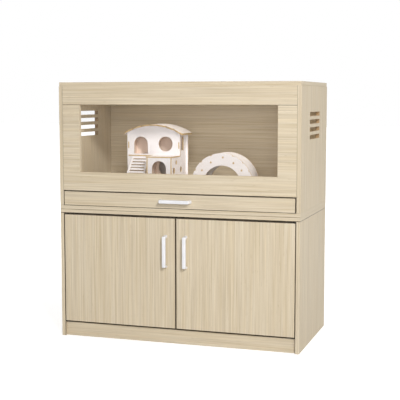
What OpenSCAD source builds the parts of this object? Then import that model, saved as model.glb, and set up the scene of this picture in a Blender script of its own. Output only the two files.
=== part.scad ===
// Wooden hamster cage: a glazed case with a lifting lid and a drawer, on a cupboard with two doors.
// Millimetres. X runs along the width, Y from front to back, Z up from the floor.

/* [Carcass] */
// Outer width of both cabinets
case_w = 1000; // [700:10:1300]
// Depth of the side panels
case_d = 505; // [450:5:700]
// Thickness of the boards
board_t = 16; // [15:0.5:20]
// Chamfer that takes the sharpness off every board edge
edge_ease = 0.7; // [0.2:0.1:1.5]

/* [Cupboard] */
// Height of the cupboard with its top board
base_h = 528; // [420:1:700]
// Height of the plinth under the doors
plinth_h = 59; // [48:1:90]
// How far the plinth stands behind the front
plinth_setback = 13; // [5:1:40]
// Gap under each door
door_gap_low = 3.4; // [3.2:0.1:6]
// Gap above each door
door_gap_high = 4; // [3.2:0.1:6]
// Gap between a door and the side panel
door_gap_side = 2.5; // [2.2:0.1:5]
// Gap between the two doors
door_gap_mid = 3.4; // [2:0.1:6]
// Thickness of the thin back sheet
sheet_t = 5; // [3:0.5:6]
// Wood left behind the back sheet's groove
sheet_inset = 10; // [6:1:20]
// Depth of the grooves for thin sheets
groove_depth = 6; // [3:0.5:8]
// Height of the shelf's top above the cupboard floor
shelf_rise = 220; // [120:5:300]
// Distance of the shelf's front edge behind the doors
shelf_setback = 60; // [30:5:120]

/* [Door pivots] */
// Diameter of the pivot pins
pivot_pin_d = 6; // [4:0.5:8]
// Length of a pin inside the door
pivot_pin_len = 14; // [8:1:25]
// Thickness of the steel pivot plates
pivot_plate_t = 2; // [1.5:0.1:2.5]
// Width of the steel pivot plates
pivot_plate_w = 36; // [34:1:60]

/* [Case] */
// Height of the case without its lid
case_h = 498; // [420:1:650]
// Height of the drawer front
drawer_front_h = 57; // [50:1:90]
// Gap under the drawer front
drawer_gap_low = 1.2; // [0.8:0.1:3]
// Gap above the drawer front
drawer_gap_high = 2.4; // [1:0.1:4]
// Gap at each end of the drawer front
drawer_gap_side = 2.3; // [1:0.1:4]
// Height of the board under the window
sill_h = 76; // [50:1:110]
// Height of the rail over the window
head_h = 74; // [50:1:110]
// Width of the frame at each side of the window
stile_w = 74; // [50:1:110]
// Thickness of the clear pane
pane_t = 3; // [2:0.5:5]
// How far the pane laps behind the frame
pane_lap = 14; // [12:1:30]

/* [Vents] */
// Number of slots in each side
vent_count = 4; // [1:1:6]
// Length of a slot
vent_len = 192; // [60:2:260]
// Height of a slot
vent_h = 16.5; // [6:0.5:20]
// Distance from one slot to the next
vent_pitch = 30; // [24:0.5:40]
// Distance of the top slot's upper edge below the lid
vent_drop = 101.5; // [60:0.5:160]
// Corner radius of a slot
vent_r = 2.5; // [1:0.5:3]

/* [Lid] */
// How far the lid stands in from each side
lid_inset = 2; // [0:0.5:5]
// Length of a hinge
hinge_len = 60; // [40:5:90]
// Thickness of a hinge leaf
leaf_t = 1.5; // [1:0.1:2]
// Length of a leaf from the pin to its edge
leaf_h = 14; // [12:0.5:15]
// Outer radius of a hinge knuckle
knuckle_r = 3.2; // [2.8:0.1:4]
// Radius of the hinge pin
hinge_pin_r = 1.5; // [1:0.1:1.8]

/* [Drawer] */
// Thickness of the drawer's sides and back
box_t = 12; // [9:0.5:15]
// How far the drawer's sides are lower than its front, at the top and at the bottom
box_reveal = 5.5; // [4:0.5:7]
// Space behind the drawer
box_back_gap = 33; // [10:1:80]
// Thickness of the drawer's bottom sheet
tray_t = 3; // [2.5:0.5:4]
// Height of the drawer's bottom sheet above the lower edge of its sides
tray_rise = 4; // [3:0.5:8]
// Space for a telescopic runner beside the drawer
slide_gap = 12.7; // [12:0.1:15]
// Height of a runner
slide_h = 35; // [30:1:36]
// Sheet thickness of a runner
slide_steel = 1.2; // [0.8:0.1:1.5]

/* [Handles] */
// Length of a handle over its feet
handle_len = 132; // [90:1:180]
// Width of a handle
handle_w = 14; // [10:0.5:20]
// How far a handle stands out
handle_out = 27; // [20:1:40]
// Thickness of a handle's grip
grip_t = 7; // [5:0.5:10]
// Thickness of a handle's legs
leg_t = 9; // [8:0.5:12]
// Bend radius of a handle
handle_r = 8; // [4:0.5:12]
// How far the legs lean out, per millimetre of height
leg_lean = 0.14; // [0:0.01:0.2]
// Distance of a door handle from the middle
handle_in = 42; // [25:1:80]
// Distance of a door handle's centre below the door's top
handle_drop = 134; // [100:1:260]

/* [House] */
// Thickness of the plywood
ply = 5; // [4:0.5:6]
// Place of the house's middle
house_x = -179; // [-260:1:-100]
// Distance of the house's main front wall behind the cage front
house_y = 230; // [200:1:260]
// Width of the house
house_w = 235.5; // [220:0.5:280]
// How far the house's side walls stand in from the ends of its front wall
wall_inset = 3; // [2:0.5:8]
// Depth of the house's upper storey
house_d = 84; // [60:1:120]
// Height of the house's upper floor above the cage floor
house_storey = 120.5; // [112:0.5:150]
// How far the upper floor stands out of the walls
floor_proud = 3; // [1:0.5:6]
// Width of the porch
porch_w = 109; // [100:1:120]
// Depth of the porch
porch_d = 97; // [60:1:110]
// Width of the doorways
doorway_w = 61; // [40:1:70]
// Height of the upper doorway
doorway_h = 72; // [50:1:76]
// Height of the lower doorway
porch_door_h = 102; // [60:1:104]
// Radius of the round window
porthole_r = 31; // [15:1:33]
// Radius of the hole between the porch and the lower room
burrow_r = 33; // [20:1:36]
// Thickness of the roof's bent sheet
roof_t = 6.5; // [3:0.5:8]
// Height of the roof's ridge above the cage floor
roof_top = 249.5; // [240:0.5:300]
// Rise of the roof's curve
roof_rise = 37; // [25:1:45]
// Overhang of the roof at each side
roof_side = 12; // [5:0.5:20]
// Overhang of the roof in front
roof_front = 17; // [14:1:30]
// Overhang of the roof behind
roof_back = 30; // [8:1:40]
// Number of scallops along the roof's front edge
scallops = 7; // [4:1:10]
// Depth of a scallop
scallop_depth = 12; // [3:0.5:13]
// Distance of the stairs' foot in front of the main wall
stair_run = 90; // [50:1:110]
// Width of the stairs at their top
stair_w = 73; // [60:1:76]
// How far the stairs widen at each side towards their foot
stair_flare = 8; // [0:0.5:9]

/* [Tunnel arch] */
// Place of the arch's middle
arch_x = 132.5; // [120:0.5:200]
// Distance of the arch behind the cage front
arch_y = 190; // [120:1:240]
// Length of the tunnel
arch_len = 103; // [60:1:140]
// Radius of the arch's plates
arch_r = 131; // [120:0.5:140]
// Radius of the way through
arch_hole_r = 81; // [60:1:88]
// Height of the arch's centre above the cage floor
arch_rise = 4.5; // [3:0.5:20]
// Diameter of the rods between the plates
rod_d = 8; // [5:0.5:10]

/* [Hidden] */
$fn = 48;

// Finishes
oak = [0.86, 0.80, 0.69];
oak_dark = [0.80, 0.73, 0.61];
white_ply = [0.95, 0.92, 0.88];
birch = [0.87, 0.76, 0.58];
white_gloss = [0.94, 0.94, 0.95];
steel = [0.74, 0.75, 0.77];
zinc = [0.62, 0.63, 0.65];
clear = [0.85, 0.93, 0.95, 0.3];

// Clearances
slip = 0.1;       // round piece in its bore
sheet_play = 0.2; // thin sheet in its groove
run_gap = 0.4;    // sliding steel faces
seat_gap = 0.3;   // faces of a moving piece and its stop
hinge_gap = 0.3;  // knuckle from its neighbours and from the back

// Levels and half widths
half_w = case_w / 2;
inner = half_w - board_t;
base_top_z = base_h - board_t;
base_floor_z = plinth_h;
door_z0 = base_floor_z + door_gap_low;
door_z1 = base_top_z - door_gap_high;
deck_z = base_h + board_t;
drawer_z0 = deck_z + drawer_gap_low;
drawer_z1 = drawer_z0 + drawer_front_h;
frame_z0 = drawer_z1 + drawer_gap_high;
floor_top = frame_z0 + board_t;
sill_z = frame_z0 + sill_h;
lid_z = base_h + case_h;
head_z = lid_z - head_h;
back_y = case_d - board_t;
sheet_y = case_d - sheet_inset - sheet_t;
window_half = inner - stile_w;

// The origin is under the middle of the whole object, handles and hinges included
hinge_y = case_d + knuckle_r + hinge_gap;
front_y = (handle_out - hinge_y - knuckle_r) / 2;

module in_frame() {
    translate([0, front_y, 0]) children();
}

// Shapes used by many pieces

module eased_outline(w, h) {
    e = edge_ease;
    polygon([[e, 0], [w - e, 0], [w, e], [w, h - e], [w - e, h], [e, h], [0, h - e], [0, e]]);
}

// A box with chamfered edges between two opposite corners
module panel(low, high) {
    size = high - low;
    translate(low) intersection() {
        linear_extrude(size.z) eased_outline(size.x, size.y);
        translate([0, size.y, 0]) rotate([90, 0, 0]) linear_extrude(size.y) eased_outline(size.x, size.z);
        rotate([90, 0, 90]) linear_extrude(size.x) eased_outline(size.y, size.z);
    }
}

module block(low, high) {
    translate(low) cube(high - low);
}

// A rectangle with round corners, centred
module round_rect(w, h, r) {
    square([w - 2 * r, h], center = true);
    square([w, h - 2 * r], center = true);
    for (sx = [-1, 1], sy = [-1, 1]) translate([sx * (w / 2 - r), sy * (h / 2 - r)]) circle(r);
}

// Turns an outline drawn in X and Z into a plate that is deep along Y, with its front at y
module upright(y, depth) {
    translate([0, y + depth, 0]) rotate([90, 0, 0]) linear_extrude(depth) children();
}

// Turns an outline drawn in Y and Z into a plate that starts at x and is thick along X
module sideways(x, depth) {
    translate([x, 0, 0]) rotate([90, 0, 90]) linear_extrude(depth) children();
}

// Cam fittings. Each is [point on the joint, way into the board that holds the cam, way to the cam's face]

cam_d = 15;
cam_h = 12.5;
cam_back = 34;
cam_bolt_d = 6;
bolt_thread = 11;
dowel_d = 8;
dowel_len = 30;
dowel_side = 32;
dowel_up = 22;

plinth_mid_y = plinth_setback + board_t / 2;
fit_low_y = 90;
fit_back_in = 95;
fit_high_y = case_d - fit_back_in;
fit_head_drop = 60;
fit_board_in = 110;

function both_sides(y, z, cam_way) =
    [for (s = [-1, 1]) [[s * inner, y, z], [-s, 0, 0], cam_way]];
function side_ends(z, up) =
    [for (s = [-1, 1], y = [fit_low_y, fit_high_y])
        [[s * (half_w - board_t / 2), y, z], [0, 0, up], [-s, 0, 0]]];

fit_bottom = [for (y = [fit_low_y, fit_high_y]) each both_sides(y, base_floor_z - board_t / 2, [0, 0, -1])];
fit_plinth = both_sides(plinth_mid_y, plinth_h * 0.35, [0, 1, 0]);
fit_base_top = side_ends(base_top_z, -1);
fit_case_bottom = side_ends(deck_z, 1);
fit_floor = [for (y = [fit_low_y, fit_high_y]) each both_sides(y, floor_top - board_t / 2, [0, 0, -1])];
fit_frame = [for (z = [frame_z0 + sill_h * 0.6, head_z - fit_head_drop])
    each both_sides(board_t / 2, z, [0, 1, 0])];
fit_rail = both_sides(board_t / 2, lid_z - head_h * 0.65, [0, 1, 0]);
fit_back = [for (z = [deck_z + fit_board_in, lid_z - fit_board_in])
    each both_sides(back_y + board_t / 2, z, [0, 1, 0])];
fit_base = concat(fit_bottom, fit_plinth, fit_base_top);
fit_case = concat(fit_case_bottom, fit_floor, fit_frame, fit_rail, fit_back);
fit_all = concat(fit_base, fit_case);

module at_fittings(list) {
    for (f = list) {
        u = f[1];
        w = f[2];
        v = cross(w, u);
        multmatrix([
            [u.x, v.x, w.x, f[0].x],
            [u.y, v.y, w.y, f[0].y],
            [u.z, v.z, w.z, f[0].z],
            [0, 0, 0, 1]
        ]) children();
    }
}

// Sideways place of the dowel, which is above the cam where the board stands on edge
function dowel_place(f) = f[2].y == 1 ? -dowel_up * f[1].x : dowel_side;

module x_rod(r, x0, x1) {
    translate([x0, 0, 0]) rotate([0, 90, 0]) cylinder(r = r, h = x1 - x0);
}

module fitting_holes(list) {
    at_fittings(list) {
        translate([cam_back, 0, board_t / 2 - cam_h - slip])
            cylinder(r = cam_d / 2 + slip, h = cam_h + slip + 1);
        x_rod(cam_bolt_d / 2 + slip, -bolt_thread - slip, cam_back);
    }
    for (f = list) at_fittings([f]) translate([0, dowel_place(f), 0])
        x_rod(dowel_d / 2 + slip, -dowel_len / 3 - slip, dowel_len * 2 / 3 + slip);
}

module cam_locks() in_frame() color(zinc) at_fittings(fit_all) difference() {
    translate([cam_back, 0, board_t / 2 - cam_h]) cylinder(r = cam_d / 2, h = cam_h);
    x_rod(cam_bolt_d / 2 + slip, cam_back - cam_d, cam_back + 3);
    for (a = [0, 90]) translate([cam_back, 0, board_t / 2]) rotate(a) cube([7, 1.4, 3], center = true);
}

module cam_bolts() in_frame() color(steel) at_fittings(fit_all) {
    x_rod(cam_bolt_d / 2, -bolt_thread, -1);
    x_rod(cam_bolt_d / 2 - 0.8, -1, cam_back - 4);
    x_rod(cam_bolt_d / 2, cam_back - 4, cam_back);
}

module wood_dowels() in_frame() color(birch)
    for (f = fit_all) at_fittings([f]) translate([0, dowel_place(f), 0])
        x_rod(dowel_d / 2, -dowel_len / 3, dowel_len * 2 / 3);

// Small countersunk screws: [point on the surface, way in]

csk_r = 3;
csk_h = 1.8;
csk_shank_r = 1.4;
csk_len = 12;

hinge_spread = half_w * 0.7;
hinge_xs = [-hinge_spread, 0, hinge_spread];
leaf_screw_dx = hinge_len / 2 - 10;
leaf_screw_z = knuckle_r + (leaf_h - knuckle_r) / 2 + 0.5;
pivot_y = board_t / 2;
// Far enough in for the door's corner to swing past the side panel
pivot_inset = (pivot_y * pivot_y - door_gap_side * door_gap_side) / (2 * door_gap_side) + 1;
pivot_x = inner - door_gap_side - pivot_inset;
pivot_front = 4;
pivot_back = plinth_setback + board_t + 14;
pivot_plate_x0 = inner - seat_gap - pivot_plate_w;
pivot_screw_y = pivot_back - 8;
slide_z = deck_z + drawer_gap_low + drawer_front_h / 2;
box_d = back_y - board_t - box_back_gap;
slide_y0 = board_t + 2;
slide_len = box_d - 20;
slide_screw_in = 110;
slide_screws_y = [slide_y0 + slide_screw_in, slide_y0 + slide_len - slide_screw_in];

screws_pivots = [
    for (s = [-1, 1], dx = [8, pivot_plate_w - 8], up = [0, 1])
        [[s * (pivot_plate_x0 + dx), pivot_screw_y, up == 1 ? base_top_z - pivot_plate_t
            : base_floor_z + pivot_plate_t], [0, 0, up == 1 ? 1 : -1]]
];
screws_case_leaves = [for (x = hinge_xs, s = [-1, 1])
    [[x + s * leaf_screw_dx, case_d + leaf_t, lid_z - leaf_screw_z], [0, -1, 0]]];
screws_lid_leaves = [for (x = hinge_xs, s = [-1, 1])
    [[x + s * leaf_screw_dx, case_d + leaf_t, lid_z + leaf_screw_z - 1], [0, -1, 0]]];
screws_slides = [for (s = [-1, 1], y = slide_screws_y)
    [[s * (inner - slide_steel), y, slide_z], [s, 0, 0]]];

// The screw points along local -Z from its flush head
module at_screws(list) {
    for (f = list) {
        w = -f[1];
        u = abs(w.x) > 0.5 ? [0, 1, 0] : [1, 0, 0];
        v = cross(w, u);
        multmatrix([
            [u.x, v.x, w.x, f[0].x],
            [u.y, v.y, w.y, f[0].y],
            [u.z, v.z, w.z, f[0].z],
            [0, 0, 0, 1]
        ]) children();
    }
}

module csk_body(extra) {
    translate([0, 0, -csk_h - extra])
        cylinder(r1 = csk_shank_r + extra, r2 = csk_r + extra, h = csk_h + extra);
    translate([0, 0, -csk_len - extra]) cylinder(r = csk_shank_r + extra, h = csk_len);
}

module csk_screws(list) color(steel) at_screws(list) difference() {
    csk_body(0);
    for (a = [0, 90]) rotate(a) cube([3, 0.7, 1.6], center = true);
}

module csk_holes(list) {
    at_screws(list) {
        csk_body(slip);
        cylinder(r = csk_r + slip, h = 1);
    }
}

module case_screws() in_frame() csk_screws(concat(screws_pivots, screws_case_leaves, screws_slides));
module lid_screws() in_frame() csk_screws(screws_lid_leaves);

// Cupboard

shelf_z1 = base_floor_z + shelf_rise;
shelf_z0 = shelf_z1 - board_t;
shelf_y0 = board_t + shelf_setback;
pin_r = 2.5;
pin_depth = 9;
pin_reach = 10;
pin_ys = [shelf_y0 + 40, sheet_y - 45];
pin_rows = [-64, -32, 0, 32, 64];
shelf_play = 2;

module pin_holes(s) {
    for (y = pin_ys, dz = pin_rows)
        translate([s * (inner - 0.5), y, shelf_z0 - pin_r + dz]) rotate([0, s * 90, 0])
            cylinder(r = pin_r + slip, h = pin_depth + 0.5 + slip);
}

module back_sheet_space() {
    block([-inner - groove_depth, sheet_y - sheet_play / 2, base_floor_z - board_t - sheet_play],
        [inner + groove_depth, sheet_y + sheet_t + sheet_play / 2, base_top_z + groove_depth]);
}

module base_side(s) difference() {
    panel([s > 0 ? inner : -half_w, 0, 0], [s > 0 ? half_w : -inner, case_d, base_top_z]);
    back_sheet_space();
    pin_holes(s);
    fitting_holes(fit_base);
}

module base_side_left() in_frame() color(oak) base_side(-1);
module base_side_right() in_frame() color(oak) base_side(1);

bolt_xs = [-inner * 0.72, inner * 0.72];
bolt_ys = [case_d * 0.2, case_d * 0.75];
stack_r = 4;
stack_head_r = 7;
stack_head_h = 1.5;

module stack_holes() {
    for (x = bolt_xs, y = bolt_ys)
        translate([x, y, base_top_z - 1]) cylinder(r = stack_r + slip, h = 2 * board_t + 2);
}

module base_top() in_frame() color(oak) difference() {
    panel([-half_w, 0, base_top_z], [half_w, case_d, base_h]);
    back_sheet_space();
    fitting_holes(fit_base_top);
    stack_holes();
    csk_holes(screws_pivots);
}

module base_bottom() in_frame() color(oak) difference() {
    panel([-inner, plinth_setback + board_t, base_floor_z - board_t], [inner, sheet_y, base_floor_z]);
    fitting_holes(fit_bottom);
    csk_holes(screws_pivots);
}

module plinth() in_frame() color(oak) difference() {
    panel([-inner, plinth_setback, 0], [inner, plinth_setback + board_t, plinth_h]);
    fitting_holes(fit_plinth);
}

module base_back() in_frame() color(oak_dark)
    block([-inner - groove_depth + sheet_play, sheet_y, base_floor_z - board_t],
        [inner + groove_depth - sheet_play, sheet_y + sheet_t, base_top_z + groove_depth - sheet_play]);

module shelf() in_frame() color(oak)
    panel([-inner + shelf_play, shelf_y0, shelf_z0], [inner - shelf_play, sheet_y - shelf_play, shelf_z1]);

module shelf_pins() in_frame() color(zinc)
    for (s = [-1, 1], y = pin_ys) translate([s * inner, y, shelf_z0 - pin_r]) {
        rotate([0, s * 90, 0]) cylinder(r = pin_r, h = pin_depth);
        rotate([0, -s * 90, 0]) cylinder(r = pin_r, h = pin_reach);
        rotate([0, -s * 90, 0]) cylinder(r = pin_r + 1.5, h = shelf_play - 0.5);
    }

// A steel plate that carries an upright pin with a collar; the collar bears the door
module pivot_plate(collar_h) {
    translate([pivot_plate_x0, pivot_front, 0])
        cube([pivot_plate_w, pivot_back - pivot_front, pivot_plate_t]);
    translate([pivot_x, pivot_y, 0]) {
        cylinder(r = pivot_pin_d / 2 + 2, h = pivot_plate_t + collar_h);
        cylinder(r = pivot_pin_d / 2, h = pivot_plate_t + collar_h + pivot_pin_len);
    }
}

module pivot_plates() in_frame() color(steel) difference() {
    for (s = [0, 1]) mirror([s, 0, 0]) {
        translate([0, 0, base_floor_z]) pivot_plate(door_gap_low - pivot_plate_t - slip);
        translate([0, 0, base_top_z]) mirror([0, 0, 1]) pivot_plate(door_gap_high - pivot_plate_t - slip);
    }
    csk_holes(screws_pivots);
}

catch_half = 24;
catch_h = 13;
catch_d = 20;
strike_t = 1;
strike_half = 8;
catch_y0 = board_t + strike_t + seat_gap;

module door_catch() in_frame() color(white_gloss) difference() {
    panel([-catch_half, catch_y0, base_top_z - catch_h], [catch_half, catch_y0 + catch_d, base_top_z]);
    for (s = [-1, 1]) translate([s * catch_half / 2, catch_y0, base_top_z - catch_h / 2])
        cube([2 * strike_half, 3, 2], center = true);
}

module strike(s) color(steel) {
    x = s * catch_half / 2;
    block([x - strike_half, board_t, base_top_z - catch_h + 0.5],
        [x + strike_half, board_t + strike_t, door_z1 - 1]);
}

module strike_left() in_frame() strike(-1);
module strike_right() in_frame() strike(1);

// Handles. The outline is drawn along X with the feet on the X axis and the grip up

leg_gap = handle_len / 2 - leg_t / 2;
screw_r = 2;
screw_head_r = 4;
screw_head_h = 2.4;
screw_grip = 10;

// A bow with leaning legs and round shoulders
module bow(half, h, r) {
    slope = sqrt(1 + leg_lean * leg_lean);
    x = half - r * slope - leg_lean * (h - r);
    tip = [x + r / slope, h - r + r * leg_lean / slope];
    polygon([[half, 0], tip, [x, h], [-x, h], [-tip.x, tip.y], [-half, 0]]);
    for (s = [-1, 1]) intersection() {
        translate([s * x, h - r]) circle(r);
        translate([-2 * half, 0]) square([4 * half, h + 1]);
    }
}

// Lies along X on the plane y = 0, with its grip at -y
module bow_handle() difference() {
    intersection() {
        translate([0, 0, -handle_w / 2]) linear_extrude(handle_w) mirror([0, 1]) difference() {
            bow(handle_len / 2, handle_out, handle_r);
            translate([0, -0.01]) bow(handle_len / 2 - leg_t, handle_out - grip_t, handle_r / 2);
        }
        translate([0, 1, 0]) rotate([90, 0, 0]) linear_extrude(handle_out + 2)
            round_rect(handle_len, handle_w, handle_w * 0.3);
    }
    for (s = [-1, 1]) translate([s * leg_gap, 1, 0]) rotate([90, 0, 0])
        cylinder(r = screw_r + slip, h = screw_grip + 2);
}

module bow_screws() {
    for (s = [-1, 1]) translate([s * leg_gap, 0, 0]) rotate([90, 0, 0]) {
        translate([0, 0, -board_t]) cylinder(r = screw_r, h = board_t + screw_grip);
        translate([0, 0, -board_t - screw_head_h]) difference() {
            cylinder(r = screw_head_r, h = screw_head_h);
            for (a = [0, 90]) rotate(a) cube([4, 0.9, 2.4], center = true);
        }
    }
}

module bow_holes() {
    for (s = [-1, 1]) translate([s * leg_gap, board_t + 1, 0]) rotate([90, 0, 0])
        cylinder(r = screw_r + slip, h = board_t + 2);
}

handle_z = door_z1 - handle_drop;
drawer_mid_z = (drawer_z0 + drawer_z1) / 2;

module on_door(s) {
    translate([s * handle_in, 0, handle_z]) rotate([0, 90, 0]) children();
}

module on_drawer() {
    translate([0, 0, drawer_mid_z]) children();
}

// Doors

module pivot_bores(s) {
    bore_r = pivot_pin_d / 2 + slip;
    depth = pivot_pin_len + 1;
    for (z = [door_z0 - 1, door_z1 - depth]) translate([s * pivot_x, pivot_y, z])
        cylinder(r = bore_r, h = depth + 1);
}

module door(s) color(oak) difference() {
    x0 = door_gap_mid / 2;
    x1 = inner - door_gap_side;
    panel([s > 0 ? x0 : -x1, 0, door_z0], [s > 0 ? x1 : -x0, board_t, door_z1]);
    pivot_bores(s);
    on_door(s) bow_holes();
}

module door_left() in_frame() door(-1);
module door_right() in_frame() door(1);
module handle_left() in_frame() color(white_gloss) on_door(-1) bow_handle();
module handle_right() in_frame() color(white_gloss) on_door(1) bow_handle();
module handle_screws_left() in_frame() color(zinc) on_door(-1) bow_screws();
module handle_screws_right() in_frame() color(zinc) on_door(1) bow_screws();

// Case

module case_bottom() in_frame() color(oak) difference() {
    panel([-half_w, 0, base_h], [half_w, case_d, deck_z]);
    fitting_holes(fit_case_bottom);
    stack_holes();
}

module stack_bolts() in_frame() color(zinc)
    for (x = bolt_xs, y = bolt_ys) translate([x, y, base_top_z]) {
        cylinder(r = stack_r, h = 2 * board_t);
        translate([0, 0, 2 * board_t]) cylinder(r = stack_head_r, h = stack_head_h);
        translate([0, 0, -stack_head_h]) cylinder(r = stack_head_r, h = stack_head_h);
    }

module vent_slots(s) {
    for (i = [0 : vent_count - 1])
        translate([s * inner, case_d / 2, lid_z - vent_drop - vent_h / 2 - i * vent_pitch])
            sideways(s > 0 ? -1 : -board_t - 1, board_t + 2) round_rect(vent_len, vent_h, vent_r);
}

module case_side(s) difference() {
    panel([s > 0 ? inner : -half_w, 0, deck_z], [s > 0 ? half_w : -inner, case_d, lid_z]);
    vent_slots(s);
    fitting_holes(fit_case);
    csk_holes(screws_slides);
}

module case_side_left() in_frame() color(oak) case_side(-1);
module case_side_right() in_frame() color(oak) case_side(1);

module case_back() in_frame() color(oak) difference() {
    panel([-inner, back_y, deck_z], [inner, case_d, lid_z]);
    fitting_holes(fit_back);
    csk_holes(screws_case_leaves);
}

module case_floor() in_frame() color(oak) difference() {
    panel([-inner, board_t, frame_z0], [inner, back_y, floor_top]);
    fitting_holes(fit_floor);
}

pane_screw_r = 1.5;
pane_head_r = 3.5;
pane_head_h = 2;
pane_washer_r = 5;
pane_washer_t = 1;
pane_screw_len = 10;
pane_edge = pane_lap / 2;
pane_spots = concat(
    [for (x = [-1, -0.34, 0.34, 1], z = [sill_z - pane_edge, head_z + pane_edge])
        [x * (window_half - 40), z]],
    [for (s = [-1, 1]) [s * (window_half + pane_edge), (sill_z + head_z) / 2]]
);

module pane_holes(extra) {
    for (p = pane_spots) translate([p[0], board_t - pane_screw_len - slip, p[1]]) rotate([-90, 0, 0])
        cylinder(r = pane_screw_r + extra, h = pane_screw_len + pane_t + 1);
}

module top_rail() in_frame() color(oak) difference() {
    panel([-inner, 0, head_z], [inner, board_t, lid_z]);
    fitting_holes(fit_rail);
    pane_holes(slip);
}

module window_frame() in_frame() color(oak) difference() {
    panel([-inner, 0, frame_z0], [inner, board_t, head_z]);
    block([-window_half, -1, sill_z], [window_half, board_t + 1, head_z + 1]);
    fitting_holes(fit_frame);
    pane_holes(slip);
}

module window_pane() in_frame() color(clear) difference() {
    upright(board_t, pane_t) translate([0, (sill_z + head_z) / 2])
        round_rect(2 * (window_half + pane_lap), head_z - sill_z + 2 * pane_lap, 4);
    pane_holes(0.4);
}

module pane_screws() in_frame() color(steel)
    for (p = pane_spots) translate([p[0], board_t + pane_t, p[1]]) rotate([-90, 0, 0]) {
        translate([0, 0, -pane_t - pane_screw_len]) cylinder(r = pane_screw_r, h = pane_screw_len + pane_t);
        cylinder(r = pane_washer_r, h = pane_washer_t);
        translate([0, 0, pane_washer_t]) difference() {
            cylinder(r = pane_head_r, h = pane_head_h);
            translate([0, 0, pane_head_h]) cube([3.5, 0.8, 1.6], center = true);
            translate([0, 0, pane_head_h]) cube([0.8, 3.5, 1.6], center = true);
        }
    }

// Drawer and its telescopic runners

box_z0 = drawer_z0 + box_reveal;
box_z1 = drawer_z1 - box_reveal;
box_x1 = inner - slide_gap;
box_x0 = box_x1 - box_t;
box_y1 = board_t + box_d;
tray_z0 = box_z0 + tray_rise;
tray_y0 = board_t - groove_depth;
tray_x = box_x0 + groove_depth;

module tray_space() {
    block([-tray_x, tray_y0, tray_z0 - sheet_play / 2],
        [tray_x, box_y1 + 1, tray_z0 + tray_t + sheet_play / 2]);
}

module drawer_front() in_frame() color(oak) difference() {
    panel([-inner + drawer_gap_side, 0, drawer_z0], [inner - drawer_gap_side, board_t, drawer_z1]);
    tray_space();
    drawer_rods(slip);
    on_drawer() bow_holes();
}

drawer_dowel_r = 3;
front_dowel_len = 30;
back_dowel_len = 28;
dowel_cover = 8; // wood left outside a dowel's end
drawer_dowel_zs = [box_z1 - 26, box_z1 - 9];

// Dowels from the drawer's front and back into its sides
module drawer_rods(extra) {
    for (s = [-1, 1], z = drawer_dowel_zs) {
        translate([s * (box_x0 + box_x1) / 2, board_t - 10 - extra, z]) rotate([-90, 0, 0])
            cylinder(r = drawer_dowel_r + extra, h = front_dowel_len + 2 * extra);
        translate([s * (box_x0 + dowel_cover + extra), box_y1 - box_t / 2, z]) rotate([0, -s * 90, 0])
            cylinder(r = drawer_dowel_r + extra, h = back_dowel_len + 2 * extra);
    }
}

module drawer_dowels() in_frame() color(birch) drawer_rods(0);

module drawer_side(s) color(oak_dark) difference() {
    panel([s > 0 ? box_x0 : -box_x1, board_t, box_z0], [s > 0 ? box_x1 : -box_x0, box_y1, box_z1]);
    tray_space();
    drawer_rods(slip);
}

module drawer_side_left() in_frame() drawer_side(-1);
module drawer_side_right() in_frame() drawer_side(1);

module drawer_back() in_frame() color(oak_dark) difference() {
    panel([-box_x0, box_y1 - box_t, tray_z0 + tray_t], [box_x0, box_y1, box_z1]);
    drawer_rods(slip);
}

module drawer_bottom() in_frame() color(birch)
    block([-tray_x + sheet_play, tray_y0 + sheet_play, tray_z0],
        [tray_x - sheet_play, box_y1, tray_z0 + tray_t]);

module handle_drawer() in_frame() color(white_gloss) on_drawer() bow_handle();
module handle_screws_drawer() in_frame() color(zinc) on_drawer() bow_screws();

// Each channel nests in the one before it with run_gap all round
nest = slide_steel + run_gap;

// A channel with its web at depth web_at from the side panel and its flanges from flange_0 to flange_1
module channel(s, half_h, web_at, flange_0, flange_1, y0, len) {
    x_of = function(depth) s * (inner - depth);
    for (z = [half_h - slide_steel, -half_h])
        block([min(x_of(flange_0), x_of(flange_1)), y0, slide_z + z],
            [max(x_of(flange_0), x_of(flange_1)), y0 + len, slide_z + z + slide_steel]);
    block([min(x_of(web_at), x_of(web_at + slide_steel)), y0, slide_z - half_h],
        [max(x_of(web_at), x_of(web_at + slide_steel)), y0 + len, slide_z + half_h]);
}

inner_web = slide_gap - slide_steel;
middle_tip = inner_web - run_gap;
middle_short = 15;

module slides_outer() in_frame() color(steel) difference() {
    for (s = [-1, 1]) channel(s, slide_h / 2, 0, 0, middle_tip - 1, slide_y0, slide_len);
    csk_holes(screws_slides);
}

module slides_middle() in_frame() color(zinc)
    for (s = [-1, 1])
        channel(s, slide_h / 2 - nest, nest, nest, middle_tip,
            slide_y0 + middle_short, slide_len - middle_short);

module slides_inner() in_frame() color(steel)
    for (s = [-1, 1]) channel(s, slide_h / 2 - 2 * nest, inner_web, 2 * nest, slide_gap, slide_y0, slide_len);

// Lid and its butt hinges

module lid() in_frame() color(oak) difference() {
    panel([-half_w + lid_inset, 0, lid_z], [half_w - lid_inset, case_d, lid_z + board_t]);
    csk_holes(screws_lid_leaves);
}

knuckles = 5;
knuckle_pitch = hinge_len / knuckles;

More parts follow.
